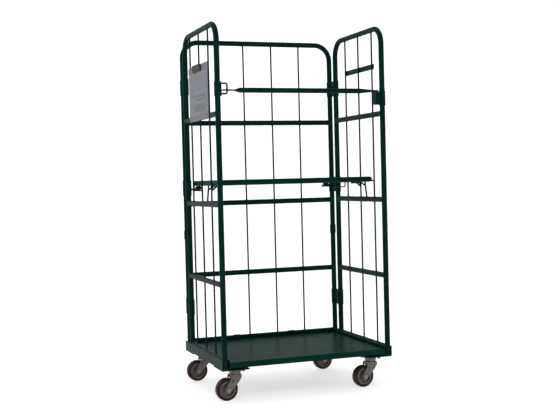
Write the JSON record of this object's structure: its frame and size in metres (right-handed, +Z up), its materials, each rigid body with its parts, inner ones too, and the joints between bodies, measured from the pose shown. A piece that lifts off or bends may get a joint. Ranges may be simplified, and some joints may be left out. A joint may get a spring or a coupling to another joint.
{
  "type": "roll cage container",
  "caption": "Open-fronted roll cage with tube-framed side and back panels, a folding steel deck and shelf, a lift-up front bar and swivel casters.",
  "frame": {"origin": "on the floor, under the middle of the base", "axes": "+X towards the right side panel, +Y towards the back panel, +Z up"},
  "size_m": [0.846, 0.6472, 1.7],
  "materials": {
    "frame_paint": "semi-gloss dark green",
    "deck_paint": "gloss dark green",
    "zinc": "dull zinc plate",
    "board": "satin grey",
    "sheet": "printed film",
    "clip": "satin black-brown",
    "wheel_core": "painted grey",
    "tread": "matt dark maroon"
  },
  "bodies": {
    "cage": {"left_rail": "frame_paint", "right_rail": "frame_paint", "caster_brackets": "frame_paint", "left_side_tube": "frame_paint", "left_side_bars": "frame_paint", "left_side_rods": "frame_paint", "right_side_tube": "frame_paint", "right_side_bars": "frame_paint", "right_side_rods": "frame_paint", "back_tube": "frame_paint", "back_bars": "frame_paint", "back_rods": "frame_paint", "name_bars": "frame_paint", "hinge_outer_plates": "frame_paint", "hinge_inner_plates": "frame_paint", "hinge_bolts": "frame_paint", "deck_catches": "frame_paint", "shelf_brackets": "frame_paint", "shelf_pins": "zinc", "shelf_rests": "frame_paint", "bar_loop": "frame_paint", "left_bar_bracket": "frame_paint", "right_bar_bracket": "frame_paint", "sign_board": "board", "sign_sheet": "sheet", "sign_rivets": "zinc", "clip_base": "clip", "clip_pin": "zinc", "caster_bolts": "zinc", "front_left_plate": "zinc", "front_right_plate": "zinc", "back_left_plate": "zinc", "back_right_plate": "zinc"},
    "deck": {"deck": "deck_paint", "deck_stiffeners": "deck_paint", "deck_straps": "frame_paint"},
    "shelf": {"shelf_frame": "frame_paint", "shelf_rods": "frame_paint", "shelf_loops": "frame_paint", "shelf_lugs": "frame_paint"},
    "bar": {"front_bar": "frame_paint"},
    "clip": {"clip_lever": "clip"},
    "front_left_swivel": {"front_left_fork": "zinc", "front_left_axle": "zinc"},
    "front_left_wheel": {"front_left_hub": "wheel_core", "front_left_tyre": "tread"},
    "front_right_swivel": {"front_right_fork": "zinc", "front_right_axle": "zinc"},
    "front_right_wheel": {"front_right_hub": "wheel_core", "front_right_tyre": "tread"},
    "back_left_swivel": {"back_left_fork": "zinc", "back_left_axle": "zinc"},
    "back_left_wheel": {"back_left_hub": "wheel_core", "back_left_tyre": "tread"},
    "back_right_swivel": {"back_right_fork": "zinc", "back_right_axle": "zinc"},
    "back_right_wheel": {"back_right_hub": "wheel_core", "back_right_tyre": "tread"}
  },
  "joints": [
    {"name": "deck_flip", "type": "hinge", "parent": "cage", "child": "deck", "pos_m": [0, 0.3075, 0.1895], "axis": [-1, 0, 0], "range_deg": [0, 88]},
    {"name": "shelf_fold", "type": "hinge", "parent": "cage", "child": "shelf", "pos_m": [0, 0.262, 0.956], "axis": [-1, 0, 0], "range_deg": [0, 85]},
    {"name": "bar_lift", "type": "hinge", "parent": "cage", "child": "bar", "pos_m": [-0.356, -0.3075, 1.388], "axis": [0, -1, 0], "range_deg": [0, 24]},
    {"name": "clip_open", "type": "hinge", "parent": "cage", "child": "clip", "pos_m": [-0.4189, -0.034, 1.512], "axis": [0, 1, 0], "range_deg": [0, 12], "stiffness_Nm_per_rad": 0.5, "springref_deg": -20.05},
    {"name": "front_left_turn", "type": "hinge", "parent": "cage", "child": "front_left_swivel", "pos_m": [-0.336, -0.25, 0.12], "axis": [0, 0, 1], "continuous": true},
    {"name": "front_left_roll", "type": "hinge", "parent": "front_left_swivel", "child": "front_left_wheel", "pos_m": [-0.37884, -0.25375, 0.051], "axis": [0.0872, -0.9962, 0], "continuous": true},
    {"name": "front_right_turn", "type": "hinge", "parent": "cage", "child": "front_right_swivel", "pos_m": [0.336, -0.25, 0.12], "axis": [0, 0, 1], "continuous": true},
    {"name": "front_right_roll", "type": "hinge", "parent": "front_right_swivel", "child": "front_right_wheel", "pos_m": [0.29324, -0.25449, 0.051], "axis": [0.1045, -0.9945, 0], "continuous": true},
    {"name": "back_left_turn", "type": "hinge", "parent": "cage", "child": "back_left_swivel", "pos_m": [-0.336, 0.25, 0.12], "axis": [0, 0, 1], "continuous": true},
    {"name": "back_left_roll", "type": "hinge", "parent": "back_left_swivel", "child": "back_left_wheel", "pos_m": [-0.37894, 0.24775, 0.051], "axis": [0.0523, -0.9986, 0], "continuous": true},
    {"name": "back_right_turn", "type": "hinge", "parent": "cage", "child": "back_right_swivel", "pos_m": [0.336, 0.25, 0.12], "axis": [0, 0, 1], "continuous": true},
    {"name": "back_right_roll", "type": "hinge", "parent": "back_right_swivel", "child": "back_right_wheel", "pos_m": [0.29324, 0.24551, 0.051], "axis": [0.1045, -0.9945, 0], "continuous": true}
  ]
}
